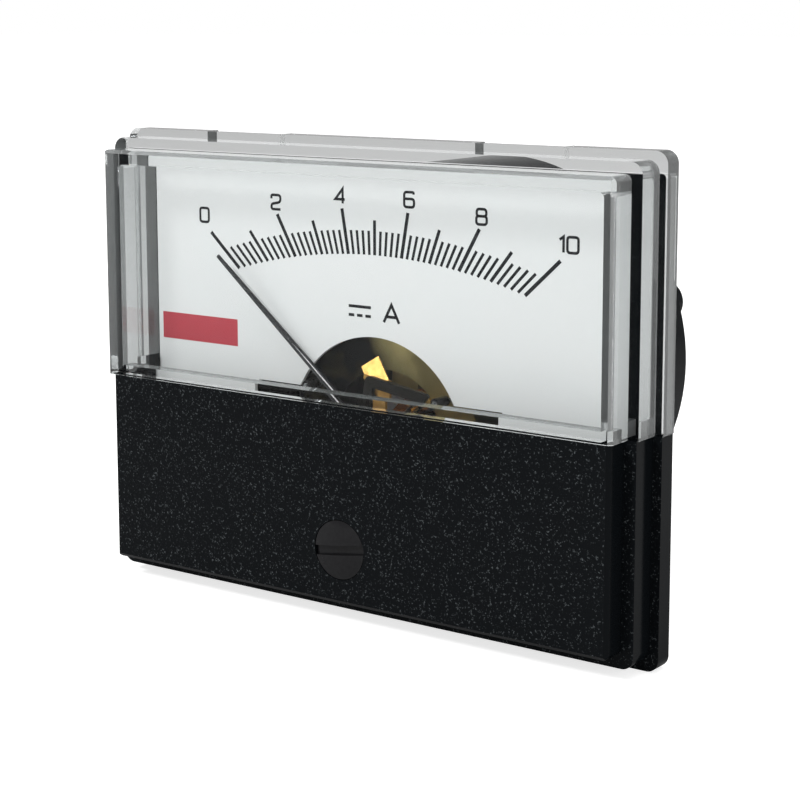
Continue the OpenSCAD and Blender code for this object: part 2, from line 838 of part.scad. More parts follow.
module rear_spacers() {
    spacer_pair(mplate_back, rear_bridge_y);
}

module clamp_nuts() {
    color("silver") on_axis() for (s = [-1, 1]) {
        hex_nut(nut_af, clamp_r, bridge_front - nut_t, bridge_front, s * clamp_x);
        hex_nut(nut_af, clamp_r, rear_bridge_back, rear_bridge_back + nut_t, s * clamp_x);
    }
}

module front_jewel_screw() {
    color("gold") on_axis() difference() {
        rod(jewel_r, jewel_front, bridge_back + jewel_proud);
        rod(jewel_cup_r, bridge_back + jewel_proud - jewel_cup_l, bridge_back + 1);
        translate([0, jewel_front, 0]) cube([3 * jewel_r, 0.6, 0.35], center = true);
    }
}

module rear_jewel_screw() {
    color("gold") on_axis() difference() {
        rod(jewel_r, rear_bridge_y - jewel_proud, jewel_rear);
        rod(jewel_cup_r, rear_bridge_y - 1, rear_bridge_y - jewel_proud + jewel_cup_l);
        translate([0, jewel_rear, 0]) cube([3 * jewel_r, 0.6, 0.35], center = true);
    }
}

module jewel_nuts() {
    front = lever_front - 0.1;
    color("gold") on_axis() {
        hex_nut(nut_af, jewel_r, front - nut_t, front);
        hex_nut(nut_af, jewel_r, rear_bridge_back, rear_bridge_back + nut_t);
    }
}

// Places children on the left (s = -1) or right (s = 1) stop
module stop_at(s) {
    rotate([0, s * stop_deg, 0]) translate([0, 0, stop_reach]) children();
}

module stop_pins() {
    color("silver") on_axis() for (s = [-1, 1]) stop_at(s)
        rod(stop_pin_r, stop_front, yoke_y + stop_sink);
}

module stop_sleeves() {
    color("#151515") on_axis() for (s = [-1, 1]) stop_at(s) difference() {
        rod(sleeve_r, stop_front + 0.1, stop_front + 0.1 + sleeve_l);
        rod(stop_pin_r, stop_front - 1, stop_front + 1 + sleeve_l);
    }
}

// ---- rear case ----

module base_case() {
    color("#1b1d1f") difference() {
        union() {
            slab(plate_y, 0) plate_outline();
            for (s = [-1, 1]) dial_hook(s);
            // barrel with a chamfered rear rim, turned as one profile
            rotate([-90, 0, 0]) rotate_extrude($fn = 128) polygon([
                [0, plate_y], [barrel_r, plate_y], [barrel_r, barrel_depth - rim_chamfer],
                [barrel_r - rim_chamfer, barrel_depth], [0, barrel_depth]]);
            for (s = [-1, 1]) {
                rod(pad_r, barrel_depth - e, pad_y, s * term_x, term_z);
                rod(boss_r, barrel_depth - e, barrel_depth + boss_l, s * boss_x, boss_z);
            }
        }
        slab(plate_y - 1, seat_y) dial_blank(dial_gap); // recess of the dial
        // hollow of the barrel, with the movement posts left standing
        difference() {
            rod(bore_r, plate_y - 1, rear_in, sides = 128);
            for (s = [-1, 1]) rod(post_r, mplate_back, rear_in + 1, s * post_x, axis_z);
        }
        for (s = [-1, 1]) {
            rod(mscrew_r + snug, mplate_back - 1, mplate_back + post_hole_l, s * post_x, axis_z);
            rod(term_r + snug, rear_in - 1, pad_y + 1, s * term_x, term_z);
            rod(cscrew_r + fit, plate_y - 1, 1, s * cover_screw_x, -cover_screw_drop);
            rod(cscrew_head + fit, -cscrew_head_t, 1, s * cover_screw_x, -cover_screw_drop);
            rod(dial_screw_r + snug, plate_y - 1, 1, s * dial_screw_x, -dial_screw_drop);
            for (t = [-1, 1]) {
                rod(mount_shank_r + snug, plate_y - 1, 1, s * mount_x, t * mount_z);
                rod(mount_head_r + snug, plate_y - 1, seat_y + mount_head_t,
                    s * mount_x, t * mount_z);
            }
        }
    }
}

// Hook that holds one side edge of the dial
module dial_hook(s) {
    post_in = dial_w / 2 + dial_gap;
    lip_in = dial_w / 2 - hook_over;
    hook_w = hook_edge - lip_in;
    lip_y = dial_front - 0.05;
    mirror([s > 0 ? 0 : 1, 0, 0]) {
        translate([post_in, lip_y - hook_t, hook_top - hook_h])
            cube([hook_edge - post_in, plate_y - lip_y + hook_t + e, hook_h]);
        slab(lip_y - hook_t, lip_y) {
            translate([lip_in, hook_top - hook_h]) square([hook_w, hook_h - hook_r]);
            translate([lip_in + hook_r, hook_top - hook_h]) square([hook_w - hook_r, hook_h]);
            translate([lip_in + hook_r, hook_top - hook_r]) circle(hook_r, $fn = 32);
        }
    }
}

// ---- terminals and fixings ----

module shunt_strip() {
    color("#9a7b4f") difference() {
        slab(rear_in - strip_t, rear_in) translate([0, term_z])
            rounded(2 * (term_x + strip_over), strip_w, 1);
        for (s = [-1, 1]) rod(term_r + snug, rear_in - 2, rear_in + 1, s * term_x, term_z);
    }
}

module terminal_studs() {
    color("gold") for (s = [-1, 1]) {
        rod(term_head_r, term_head_y, rear_in - strip_t, s * term_x, term_z, sides = 6);
        rod(term_r, rear_in - strip_t - e, barrel_depth + term_l, s * term_x, term_z);
    }
}

module terminal_inner_nuts() {
    color("gold") for (s = [-1, 1])
        hex_nut(term_nut_af, term_r, pad_y, term_tag_y, s * term_x, term_z);
}

// Solder tag: an eye on the stud and a tongue that points down
module terminal_tags() {
    color("silver") for (s = [-1, 1]) translate([s * term_x, 0, term_z])
        slab(term_tag_y, term_washer_y) difference() {
            union() {
                circle(tag_eye_r);
                translate([-tag_w / 2, -tag_l]) square([tag_w, tag_l]);
            }
            circle(term_r + snug);
            translate([0, -tag_l + tag_w / 2]) circle(tag_hole_r, $fn = 32);
        }
}

// Split lock washers
module terminal_washers() {
    color("silver") for (s = [-1, 1]) translate([s * term_x, 0, term_z]) difference() {
        rod(term_washer_r, term_washer_y, term_outer_y);
        rod(term_r + fit, term_washer_y - 1, term_outer_y + 1);
        translate([0, term_washer_y - 1, -0.25]) cube([term_washer_r + 1, term_washer_t + 2, 0.5]);
    }
}

module terminal_outer_nuts() {
    color("gold") for (s = [-1, 1])
        hex_nut(term_nut_af, term_r, term_outer_y, term_outer_y + term_nut_t,
            s * term_x, term_z);
}

module mounting_studs() {
    color("silver") for (s = [-1, 1], t = [-1, 1]) {
        rod(mount_head_r, seat_y, seat_y + mount_head_t, s * mount_x, t * mount_z);
        rod(mount_shank_r, seat_y + mount_head_t - e, 0, s * mount_x, t * mount_z);
        rod(mount_r, -e, mount_l, s * mount_x, t * mount_z);
    }
}

base_case();
window_cover();
lower_cover();
cover_screws();
zero_adjuster();
zero_lever();
dial_plate();
dial_screws();
pointer();
balance_weights();
stop_pins();
stop_sleeves();
yoke_ring();
core_magnet();
core_supports();
movement_plate();
movement_screws();
front_bridge();
rear_bridge();
clamp_studs();
front_spacers();
rear_spacers();
clamp_nuts();
front_jewel_screw();
rear_jewel_screw();
jewel_nuts();
coil_former();
coil_winding();
front_pivot();
rear_pivot();
front_hairspring();
rear_hairspring();
shunt_strip();
terminal_studs();
terminal_inner_nuts();
terminal_tags();
terminal_washers();
terminal_outer_nuts();
mounting_studs();
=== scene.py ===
# %% [markdown]
# # A moving-coil panel meter
# The meter's solids come from CAD as a fixed frame: every piece already has its
# true size and place. This script gives each piece its finish, adds what is too
# fine for the CAD model, such as the printed scale, threads and the pointer's
# folded needle, and sets up the floor, the light and the camera. Lengths are in
# metres, so a millimetre is written once here and used everywhere.

# %% Load the frame
import math

import bmesh
import bpy
from mathutils import Matrix, Vector


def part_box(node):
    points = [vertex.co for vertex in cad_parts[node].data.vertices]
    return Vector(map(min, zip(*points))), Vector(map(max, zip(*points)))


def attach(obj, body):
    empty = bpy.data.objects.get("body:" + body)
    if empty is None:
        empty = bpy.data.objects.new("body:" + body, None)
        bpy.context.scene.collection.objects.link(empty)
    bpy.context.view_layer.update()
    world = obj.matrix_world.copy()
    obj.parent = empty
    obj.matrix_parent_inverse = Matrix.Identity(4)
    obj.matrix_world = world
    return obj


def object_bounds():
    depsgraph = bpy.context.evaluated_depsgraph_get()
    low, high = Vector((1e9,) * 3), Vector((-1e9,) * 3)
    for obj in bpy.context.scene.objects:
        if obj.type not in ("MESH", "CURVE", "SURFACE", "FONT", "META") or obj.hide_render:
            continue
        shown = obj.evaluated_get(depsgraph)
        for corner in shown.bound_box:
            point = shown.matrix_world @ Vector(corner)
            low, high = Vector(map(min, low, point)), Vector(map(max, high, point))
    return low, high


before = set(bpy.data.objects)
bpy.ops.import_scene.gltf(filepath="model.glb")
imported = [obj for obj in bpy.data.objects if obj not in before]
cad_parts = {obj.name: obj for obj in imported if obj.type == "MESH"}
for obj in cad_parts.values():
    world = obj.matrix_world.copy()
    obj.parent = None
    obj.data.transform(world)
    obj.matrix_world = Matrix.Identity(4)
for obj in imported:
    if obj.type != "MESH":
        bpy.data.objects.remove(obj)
cad_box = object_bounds()
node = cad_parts
MM = 0.001
print(len(node), "CAD pieces, box", [[round(c / MM, 1) for c in p] for p in cad_box])

# %% [markdown]
# ## Camera
# A product picture of a small instrument is taken from close by with a long lens,
# here from the right and a little above. The place is given as a person would say
# it, by angles round a point on the front face and a distance, and `to_track_quat`
# turns the camera towards that point.

# %% Camera
CAMERA_ROUND = math.radians(35.85)
CAMERA_UP = math.radians(8.45)
CAMERA_ROLL = math.radians(-0.1)
CAMERA_AWAY = 223.6 * MM
CAMERA_AIM = Vector((9.53, -10.0, 11.1)) * MM

camera = bpy.data.objects.new("camera", bpy.data.cameras.new("camera"))
bpy.context.scene.collection.objects.link(camera)
towards_camera = Vector((
    math.sin(CAMERA_ROUND) * math.cos(CAMERA_UP),
    -math.cos(CAMERA_ROUND) * math.cos(CAMERA_UP),
    math.sin(CAMERA_UP)))
camera.location = CAMERA_AIM + towards_camera * CAMERA_AWAY
camera.rotation_mode = "QUATERNION"
facing = (-towards_camera).to_track_quat("-Z", "Y")
camera.rotation_quaternion = Matrix.Rotation(CAMERA_ROLL, 3, towards_camera).to_quaternion() @ facing
camera.data.lens = 87.0
camera.data.shift_y = -0.12
camera.data.sensor_width = 36.0
camera.data.clip_start, camera.data.clip_end = 0.01, 20.0
bpy.context.scene.camera = camera
print("camera at", [round(c / MM) for c in camera.location], "mm")

# %% [markdown]
# ## Helpers for finishes
# Each finish is a small node tree on the Principled shader. Its pattern is read
# from object coordinates, which are metres on the real piece, so a grain of
# 0.3 mm is 0.3 mm on a screw and on the case alike.

# %% Helpers for finishes
def new_finish(name, colour, rough, metal=0.0):
    """A material, its node tree and its Principled shader."""
    made = bpy.data.materials.new(name)
    made.use_nodes = True
    shader = made.node_tree.nodes["Principled BSDF"]
    shader.inputs["Base Color"].default_value = (*colour, 1.0)
    shader.inputs["Roughness"].default_value = rough
    shader.inputs["Metallic"].default_value = metal
    return made, made.node_tree, shader


def noise(tree, size_mm, detail=3.0, stretch=(1, 1, 1)):
    """Soft cloudy pattern whose blobs are size_mm across, as a 0 to 1 socket."""
    place = tree.nodes.new("ShaderNodeTexCoord")
    scale = tree.nodes.new("ShaderNodeMapping")
    scale.inputs["Scale"].default_value = [1.0 / (s * size_mm * MM) for s in stretch]
    cloud = tree.nodes.new("ShaderNodeTexNoise")
    cloud.inputs["Scale"].default_value = 1.0
    cloud.inputs["Detail"].default_value = detail
    tree.links.new(place.outputs["Object"], scale.inputs["Vector"])
    tree.links.new(scale.outputs["Vector"], cloud.inputs["Vector"])
    return cloud.outputs["Fac"]


def remap(tree, value, low, high, to_low, to_high):
    """The value from low to high moved to the range to_low to to_high."""
    node_ = tree.nodes.new("ShaderNodeMapRange")
    for socket, number in zip(("From Min", "From Max", "To Min", "To Max"),
                              (low, high, to_low, to_high)):
        node_.inputs[socket].default_value = number
    tree.links.new(value, node_.inputs["Value"])
    return node_.outputs["Result"]


def ramp_colour(tree, value, low, high):
    """A colour socket that runs from low to high with the value."""
    ramp = tree.nodes.new("ShaderNodeValToRGB")
    ramp.color_ramp.elements[0].color = (*low, 1.0)
    ramp.color_ramp.elements[1].color = (*high, 1.0)
    tree.links.new(value, ramp.inputs["Fac"])
    return ramp.outputs["Color"]


def tint(tree, shader, value, dark, light):
    """Base colour that runs from dark to light with the value."""
    tree.links.new(ramp_colour(tree, value, dark, light), shader.inputs["Base Color"])


def bump(tree, shader, height, depth_mm, strength=1.0):
    """Relief of depth_mm on the shader's surface."""
    relief = tree.nodes.new("ShaderNodeBump")
    relief.inputs["Distance"].default_value = depth_mm * MM
    relief.inputs["Strength"].default_value = strength
    tree.links.new(height, relief.inputs["Height"])
    tree.links.new(relief.outputs["Normal"], shader.inputs["Normal"])
    return relief


def math_node(tree, kind, first, second):
    """Two sockets or numbers put through one Math node."""
    made = tree.nodes.new("ShaderNodeMath")
    made.operation = kind
    for socket, value in zip(made.inputs, (first, second)):
        if isinstance(value, (int, float)):
            socket.default_value = value
        else:
            tree.links.new(value, socket)
    return made.outputs["Value"]


def axis_value(tree, kind, axis):
    """One axis of the piece's own Object places or Normal directions."""
    place = tree.nodes.new("ShaderNodeTexCoord")
    split = tree.nodes.new("ShaderNodeSeparateXYZ")
    tree.links.new(place.outputs[kind], split.inputs["Vector"])
    return split.outputs[axis]


def facing(tree, axis):
    """1 on faces that look along an axis, either way, and 0 on the others."""
    along = math_node(tree, "ABSOLUTE", axis_value(tree, "Normal", axis), 0.0)
    return remap(tree, along, 0.8, 0.95, 0.0, 1.0)


print("finish helpers ready")

# %% [markdown]
# ## Clear moulding
# The window is one piece of clear acrylic. It needs true refraction, because its
# walls show bright and dark bands where light bends through the steps. Cycles
# would cast a solid shadow for it, so shadow rays and soft bounced light see a
# transparent surface instead, which lets the lamps reach the dial. The pane is
# polished on both sides. The side walls are painted grey and let less light
# through, and the ledges that look up or down are painted darker still: both are
# painted shade. The pane has a thin coat against glare, so most of what it shows
# is refraction alone.

# %% Clear moulding
CLEAR = (0.975, 0.985, 0.985)
WALL_PAINTED_SHADE = (0.72, 0.74, 0.74)
LEDGE_PAINTED_SHADE = (0.62, 0.63, 0.63)
ACRYLIC_IOR = 1.49

clear_plastic, tree, shader = new_finish("clear_acrylic", CLEAR, 0.012)
pane = facing(tree, "Y")
ledge = facing(tree, "Z")
# Painted shade: faces that do not look forward are greyer, and faces that look up or down are darker
# still
painted_shade_tint = tree.nodes.new("ShaderNodeMix")
painted_shade_tint.data_type, painted_shade_tint.blend_type = "RGBA", "MULTIPLY"
painted_shade_tint.inputs["Factor"].default_value = 1.0
tree.links.new(ramp_colour(tree, pane, WALL_PAINTED_SHADE, CLEAR), painted_shade_tint.inputs[6])
tree.links.new(ramp_colour(tree, ledge, (1.0, 1.0, 1.0), LEDGE_PAINTED_SHADE), painted_shade_tint.inputs[7])
tree.links.new(painted_shade_tint.outputs[2], shader.inputs["Base Color"])
tree.links.new(remap(tree, pane, 0.0, 1.0, 0.80, 1.0), shader.inputs["Transmission Weight"])
shader.inputs["IOR"].default_value = ACRYLIC_IOR
shader.inputs["Specular IOR Level"].default_value = 0.14
bump(tree, shader, noise(tree, 14.0, 1.0), 0.02, 0.5)
coated = tree.nodes.new("ShaderNodeBsdfRefraction")
coated.inputs["Color"].default_value = (*CLEAR, 1.0)
coated.inputs["IOR"].default_value = ACRYLIC_IOR
coated.inputs["Roughness"].default_value = 0.0
clear = tree.nodes.new("ShaderNodeMixShader")
tree.links.new(math_node(tree, "MULTIPLY", pane, 0.75), clear.inputs["Fac"])
tree.links.new(shader.outputs["BSDF"], clear.inputs[1])
tree.links.new(coated.outputs["BSDF"], clear.inputs[2])
passing = tree.nodes.new("ShaderNodeBsdfTransparent")
tree.links.new(ramp_colour(tree, pane, (0.80, 0.81, 0.81), (0.96, 0.97, 0.97)),
               passing.inputs["Color"])
ray = tree.nodes.new("ShaderNodeLightPath")
choice = tree.nodes.new("ShaderNodeMixShader")
tree.links.new(math_node(tree, "MAXIMUM", ray.outputs["Is Shadow Ray"],
                         ray.outputs["Is Diffuse Ray"]), choice.inputs["Fac"])
tree.links.new(clear.outputs["Shader"], choice.inputs[1])
tree.links.new(passing.outputs["BSDF"], choice.inputs[2])
tree.links.new(choice.outputs["Shader"], tree.nodes["Material Output"].inputs["Surface"])
print(clear_plastic.name)

# %% [markdown]
# ## Black mouldings
# The lower cover has a fine spark-eroded grain on the faces that look forward and
# smooth polished sides. One material does both: the surface normal of the piece
# says which way a face looks, and that mask fades the grain in and out. The grain's
# peaks are painted lighter, as painted glints.

# %% Black mouldings
def black_moulding(name, colour, grain_mm, depth_mm, rough, painted_glint):
    """Black plastic, grained on faces that look along Y, with painted glints on the grain's peaks,
    and smooth on the rest.
    """
    made, tree, shader = new_finish(name, colour, rough)
    face = facing(tree, "Y")
    coarse = noise(tree, grain_mm, 2.0)
    fine = noise(tree, grain_mm * 0.45, 1.0)
    grain = math_node(tree, "ADD", coarse, math_node(tree, "MULTIPLY", fine, 0.5))
    bump(tree, shader, math_node(tree, "MULTIPLY", grain, face), depth_mm, 0.9)
    # Painted glints: the highest points of the grain get a lighter colour
    glint_specks = remap(tree, grain, 0.88, 1.02, 0.0, 1.0)
    tint(tree, shader, math_node(tree, "MULTIPLY", glint_specks, face), colour, painted_glint)
    tree.links.new(remap(tree, face, 0.0, 1.0, 0.16, rough), shader.inputs["Roughness"])
    shader.inputs["Specular IOR Level"].default_value = 0.05
    return made


cover_black = black_moulding("grained_black", (0.004, 0.005, 0.006), 0.26, 0.05, 0.36,
                             (0.085, 0.095, 0.10))
case_black = black_moulding("case_black", (0.006, 0.007, 0.008), 0.4, 0.01, 0.42,
                            (0.016, 0.017, 0.019))
gloss_black, tree, shader = new_finish("adjuster_gloss", (0.008, 0.008, 0.009), 0.10)
shader.inputs["Specular IOR Level"].default_value = 0.18
bump(tree, shader, noise(tree, 1.2, 2.0), 0.004, 0.6)
tint(tree, shader, noise(tree, 0.5), (0.006, 0.006, 0.007), (0.012, 0.012, 0.013))
print(cover_black.name, case_black.name, gloss_black.name)

# %% [markdown]
# ## Metals
# Springs, screws and bridges differ in how they were made: turned, pressed,
# plated or blackened. One helper gives a metal its colour, a little cloudiness
# and the direction of its scratches, and each piece gets its own numbers. The
# front bridge's brass is a darker copy of the turned brass, and the brass deep in
# the movement is darker still: both are painted shade. A screw thread and the
# turns of a coil are ridges across Y, so a sine of the depth does both.

# %% Metals
def metal(name, dark, light, rough, scratch_mm=0.4, stretch=(1, 1, 1), depth_mm=0.004):
    """Metal whose colour clouds from dark to light and whose scratches run along stretch."""
    made, tree, shader = new_finish(name, light, rough, 1.0)
    lines = noise(tree, scratch_mm, 4.0, stretch)
    tint(tree, shader, noise(tree, 3.0, 2.0), dark, light)
    tree.links.new(remap(tree, lines, 0.3, 0.7, rough * 0.7, rough * 1.3),
                   shader.inputs["Roughness"])
    bump(tree, shader, lines, depth_mm, 0.5)
    return made


zinc_steel = metal("zinc_plated_steel", (0.50, 0.51, 0.53), (0.66, 0.67, 0.69), 0.28)
blued_steel = metal("pivot_steel", (0.42, 0.43, 0.46), (0.60, 0.61, 0.64), 0.16, 0.2)
brass = metal("turned_brass", (0.70, 0.50, 0.20), (0.86, 0.66, 0.32), 0.22, 0.25, (1, 6, 1))
# Painted shade: a darker copy of brass for the front bridge
bridge_brass = metal("pressed_brass_painted_shade", (0.36, 0.20, 0.055), (0.50, 0.30, 0.09), 0.55, 0.5)
# Painted shade: a still darker copy of brass for the plate, supports and spacers deep in the
# movement
shaded_brass = metal("brass_painted_shade", (0.16, 0.12, 0.05), (0.30, 0.23, 0.10), 0.38, 0.5)
bronze = metal("spring_bronze", (0.62, 0.42, 0.20), (0.78, 0.56, 0.30), 0.25, 0.3)
bright_aluminium = metal("thin_aluminium", (0.70, 0.71, 0.72), (0.84, 0.85, 0.86), 0.30, 0.3)
dark_magnet = metal("ground_magnet", (0.16, 0.16, 0.17), (0.26, 0.26, 0.27), 0.38, 0.3, (1, 8, 1))
resistance_strip = metal("manganin", (0.40, 0.28, 0.18), (0.55, 0.42, 0.30), 0.35, 0.3, (8, 1, 1))


def threaded(name, light, pitch_mm, depth_mm):
    """Metal with fine ridges across Y, for a screw thread or the turns of a coil."""
    made, tree, shader = new_finish(name, light, 0.26, 1.0)
    tint(tree, shader, noise(tree, 2.0, 2.0), tuple(0.8 * c for c in light), light)
    depth = axis_value(tree, "Object", "Y")
    turns = math_node(tree, "MULTIPLY", depth, math.tau / (pitch_mm * MM))
    ridge = math_node(tree, "SINE", turns, 0.0)
    bump(tree, shader, ridge, depth_mm, 1.0)
    return made


brass_thread = threaded("brass_thread", (0.80, 0.60, 0.28), 0.7, 0.12)
steel_thread = threaded("steel_thread", (0.62, 0.63, 0.65), 0.5, 0.09)
wound_copper = threaded("wound_copper", (0.56, 0.24, 0.10), 0.14, 0.03)

# The ring is dark passivated iron, with a painted sheen of olive gold towards its upper right and
# clouds of tone over it
ring_finish, tree, shader = new_finish("passivated_iron_painted_sheen", (0.03, 0.028, 0.02), 0.34, 0.9)
rise = math_node(tree, "MULTIPLY", axis_value(tree, "Object", "Z"), 0.8)
towards_sheen = math_node(tree, "ADD", axis_value(tree, "Object", "X"), rise)
painted_sheen = remap(tree, towards_sheen, -1.0 * MM, 5.0 * MM, 0.0, 0.8)
clouds = remap(tree, noise(tree, 4.0, 3.0), 0.3, 0.7, -0.12, 0.12)
sheen_and_clouds = math_node(tree, "ADD", painted_sheen, clouds)
tint(tree, shader, sheen_and_clouds, (0.004, 0.0045, 0.005), (0.44, 0.37, 0.16))
bump(tree, shader, noise(tree, 0.5, 3.0), 0.004, 0.5)
print("eight plain metals, a magnet, three ridged finishes and the ring's")

# %% [markdown]
# ## Painted and soft pieces
# The dial is aluminium under a satin white lacquer, and the pointer is painted
# black so that it reads well against it. The print is black and red screen ink, and
# the stops wear short soft sleeves.

# %% Painted and soft pieces
dial_white, tree, shader = new_finish("dial_lacquer", (0.86, 0.87, 0.87), 0.5)
tint(tree, shader, noise(tree, 22.0, 2.0), (0.845, 0.855, 0.855), (0.885, 0.89, 0.885))
bump(tree, shader, noise(tree, 0.35, 2.0), 0.002, 0.4)

dial_ink, tree, shader = new_finish("dial_ink", (0.005, 0.006, 0.008), 0.5)
tint(tree, shader, noise(tree, 0.3, 2.0), (0.003, 0.004, 0.006), (0.010, 0.011, 0.013))
shader.inputs["Specular IOR Level"].default_value = 0.2

red_ink, tree, shader = new_finish("red_ink", (0.50, 0.045, 0.065), 0.5)
tint(tree, shader, noise(tree, 1.5, 2.0), (0.46, 0.038, 0.058), (0.54, 0.052, 0.075))

pointer_paint, tree, shader = new_finish("pointer_paint", (0.015, 0.016, 0.018), 0.30)
tint(tree, shader, noise(tree, 0.8, 2.0), (0.012, 0.013, 0.015), (0.022, 0.023, 0.025))
bump(tree, shader, noise(tree, 0.25, 2.0), 0.003, 0.5)

lever_black, tree, shader = new_finish("blackened_brass", (0.022, 0.022, 0.023), 0.34, 0.6)
tint(tree, shader, noise(tree, 0.9, 3.0), (0.006, 0.006, 0.006), (0.018, 0.016, 0.013))
shader.inputs["Specular IOR Level"].default_value = 0.25

sleeve_rubber, tree, shader = new_finish("sleeve_rubber", (0.008, 0.008, 0.008), 0.22)
tint(tree, shader, noise(tree, 0.4, 2.0), (0.006, 0.006, 0.006), (0.014, 0.014, 0.014))
bump(tree, shader, noise(tree, 0.2, 2.0), 0.004, 0.4)
print(dial_white.name, dial_ink.name, pointer_paint.name)

# %% [markdown]
# ## Dress the CAD pieces
# A CAD piece whose shape is right keeps its mesh and only gets its finish. Real
# edges are never knife sharp, so moulded pieces also get a small bevel, which
# catches the light along every edge.

# %% Dress the CAD pieces
FINISH_OF = {
    "base_case": case_black, "window_cover": clear_plastic, "lower_cover": cover_black,
    "cover_screws": zinc_steel, "zero_adjuster": gloss_black, "zero_lever": lever_black,
    "dial_plate": dial_white, "dial_screws": zinc_steel, "pointer": pointer_paint,
    "balance_weights": bronze, "stop_pins": zinc_steel, "stop_sleeves": sleeve_rubber,
    "yoke_ring": ring_finish, "core_magnet": dark_magnet, "core_supports": shaded_brass,
    "movement_plate": shaded_brass, "movement_screws": zinc_steel, "front_bridge": bridge_brass,
    "rear_bridge": brass, "clamp_studs": zinc_steel, "front_spacers": shaded_brass,
    "rear_spacers": brass, "clamp_nuts": zinc_steel, "front_jewel_screw": brass,
    "rear_jewel_screw": brass, "jewel_nuts": brass, "coil_former": bright_aluminium,
    "coil_winding": wound_copper, "front_pivot": blued_steel, "rear_pivot": blued_steel,
    "front_hairspring": bronze, "rear_hairspring": bronze, "shunt_strip": resistance_strip,
    "terminal_studs": brass_thread, "terminal_inner_nuts": brass, "terminal_tags": zinc_steel,
    "terminal_washers": zinc_steel, "terminal_outer_nuts": brass, "mounting_studs": steel_thread,
}
BEVEL_OF = {"window_cover": 0.12, "lower_cover": 0.15, "base_case": 0.15, "zero_adjuster": 0.1,
            "dial_plate": 0.06, "yoke_ring": 0.25, "movement_plate": 0.1, "front_bridge": 0.12,
            "rear_bridge": 0.12, "zero_lever": 0.06}


def soften_edges(piece, width_mm, segments=2):
    """Rounds the sharp edges of a piece by width_mm with a Bevel modifier."""
    edge = piece.modifiers.new("soft_edges", "BEVEL")
    edge.width = width_mm * MM
    edge.segments = segments
    edge.limit_method = "ANGLE"
    edge.angle_limit = math.radians(35)
    edge.harden_normals = True
    edge.miter_outer = "MITER_ARC"


def dress(piece, finish_):
    """Puts one finish on the whole piece and shades it smooth across shallow angles."""
    piece.data.materials.clear()
    piece.data.materials.append(finish_)
    for face in piece.data.polygons:
        face.use_smooth = True
    piece.data.set_sharp_from_angle(angle=math.radians(28))


for name, finish_ in FINISH_OF.items():
    dress(node[name], finish_)
    if name in BEVEL_OF:
        soften_edges(node[name], BEVEL_OF[name])
print("dressed", len(FINISH_OF), "pieces,", len(BEVEL_OF), "with soft edges")

# %% [markdown]
# ## The printed scale
# The scale is screen printed on the dial. It is built as flat ribbons of ink a
# few hundredths of a millimetre thick, so that its edges stay crisp in a close
# look. Each line points at the pointer's pivot, but the scale itself is a flatter
# arc struck from a centre further down, which fills a wide window better. The
# magnet's field weakens towards both ends of the swing, so the divisions close up
# a little there.

# %% Ribbons of ink
DIAL_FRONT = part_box("dial_plate")[0].y
INK_T = 0.02 * MM


def ribbon(shape, points, width, y=None, thick=INK_T, closed=False):
    """Adds a flat ribbon of ink along points (x, z in mm) to a bmesh, mitred at its corners."""
    front = DIAL_FRONT if y is None else y
    pts = [Vector((p[0], p[1])) for p in points]
    count = len(pts)
    sides = []
    for i, p in enumerate(pts):
        before = pts[i - 1] if (i > 0 or closed) else None
        after = pts[(i + 1) % count] if (i < count - 1 or closed) else None
        d1 = (p - before).normalized() if before is not None else (after - p).normalized()
        d2 = (after - p).normalized() if after is not None else d1
        mid = (d1 + d2).normalized()
        across = Vector((-mid.y, mid.x))
        reach = width / 2 / max(0.3, across.dot(Vector((-d1.y, d1.x))))
        sides.append((p + across * reach, p - across * reach))
    rings = []
    for a, b in sides:
        rings.append([shape.verts.new((q.x * MM, depth, q.y * MM))
                      for q in (a, b) for depth in (front, front - thick)])
    spans = list(zip(rings, rings[1:])) + ([(rings[-1], rings[0])] if closed else [])
    for (a0, a1, b0, b1), (c0, c1, d0, d1_) in spans:
        shape.faces.new((a1, c1, d1_, b1))
        shape.faces.new((a0, a1, c1, c0))
        shape.faces.new((b0, d0, d1_, b1))
    if not closed:
        for a0, a1, b0, b1 in (rings[0], rings[-1]):
            shape.faces.new((a0, a1, b1, b0))


def finish_mesh(name, shape, finish_, body, smooth=None):
    """Turns a bmesh into a named piece with its finish, riding on a body."""
    bmesh.ops.recalc_face_normals(shape, faces=shape.faces[:])
    data = bpy.data.meshes.new(name)
    shape.to_mesh(data)
    shape.free()
    piece = bpy.data.objects.new(name, data)
    bpy.context.scene.collection.objects.link(piece)
    data.materials.append(finish_)
    if smooth is not None:
        for face in data.polygons:
            face.use_smooth = True
        data.set_sharp_from_angle(angle=math.radians(smooth))
    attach(piece, body)
    return piece


print("dial front at", round(DIAL_FRONT / MM, 2), "mm")

# %% Scale lines
PIVOT_Z = -7.9
ARC_Z = -59.4
HALF_SWEEP = 47.1
CROWDING = 0.046
ARC_INNER, ARC_MINOR, ARC_MID, ARC_MAJOR = 74.7, 77.65, 78.96, 80.3
LINE_OF = {0: (ARC_MAJOR, 0.46), 5: (ARC_MID, 0.42)}


def on_scale(division, radius):
    """Point where the line of a division, 0 to 50, meets an arc of the scale."""
    u = division / 25 - 1
    angle = math.radians(HALF_SWEEP * u * (1 + CROWDING * (1 - u * u)))
    drop = PIVOT_Z - ARC_Z
    along = -drop * math.cos(angle) + math.sqrt(
        radius ** 2 - (drop * math.sin(angle)) ** 2)
    return (along * math.sin(angle), PIVOT_Z + along * math.cos(angle))


lines = bmesh.new()
for division in range(51):
    outer, width = LINE_OF.get(division % 10, (ARC_MINOR, 0.36))
    ribbon(lines, [on_scale(division, ARC_INNER), on_scale(division, outer)], width)
scale_lines = finish_mesh("scale_lines", lines, dial_ink, "meter")
print("51 scale lines")

# %% [markdown]
# ## Numerals
# Figures on such dials are square shouldered and drawn with one pen width. Each is
# a few strokes in a box one wide and one high, whose corners are rounded by an arc,
# so one list of strokes serves every size.

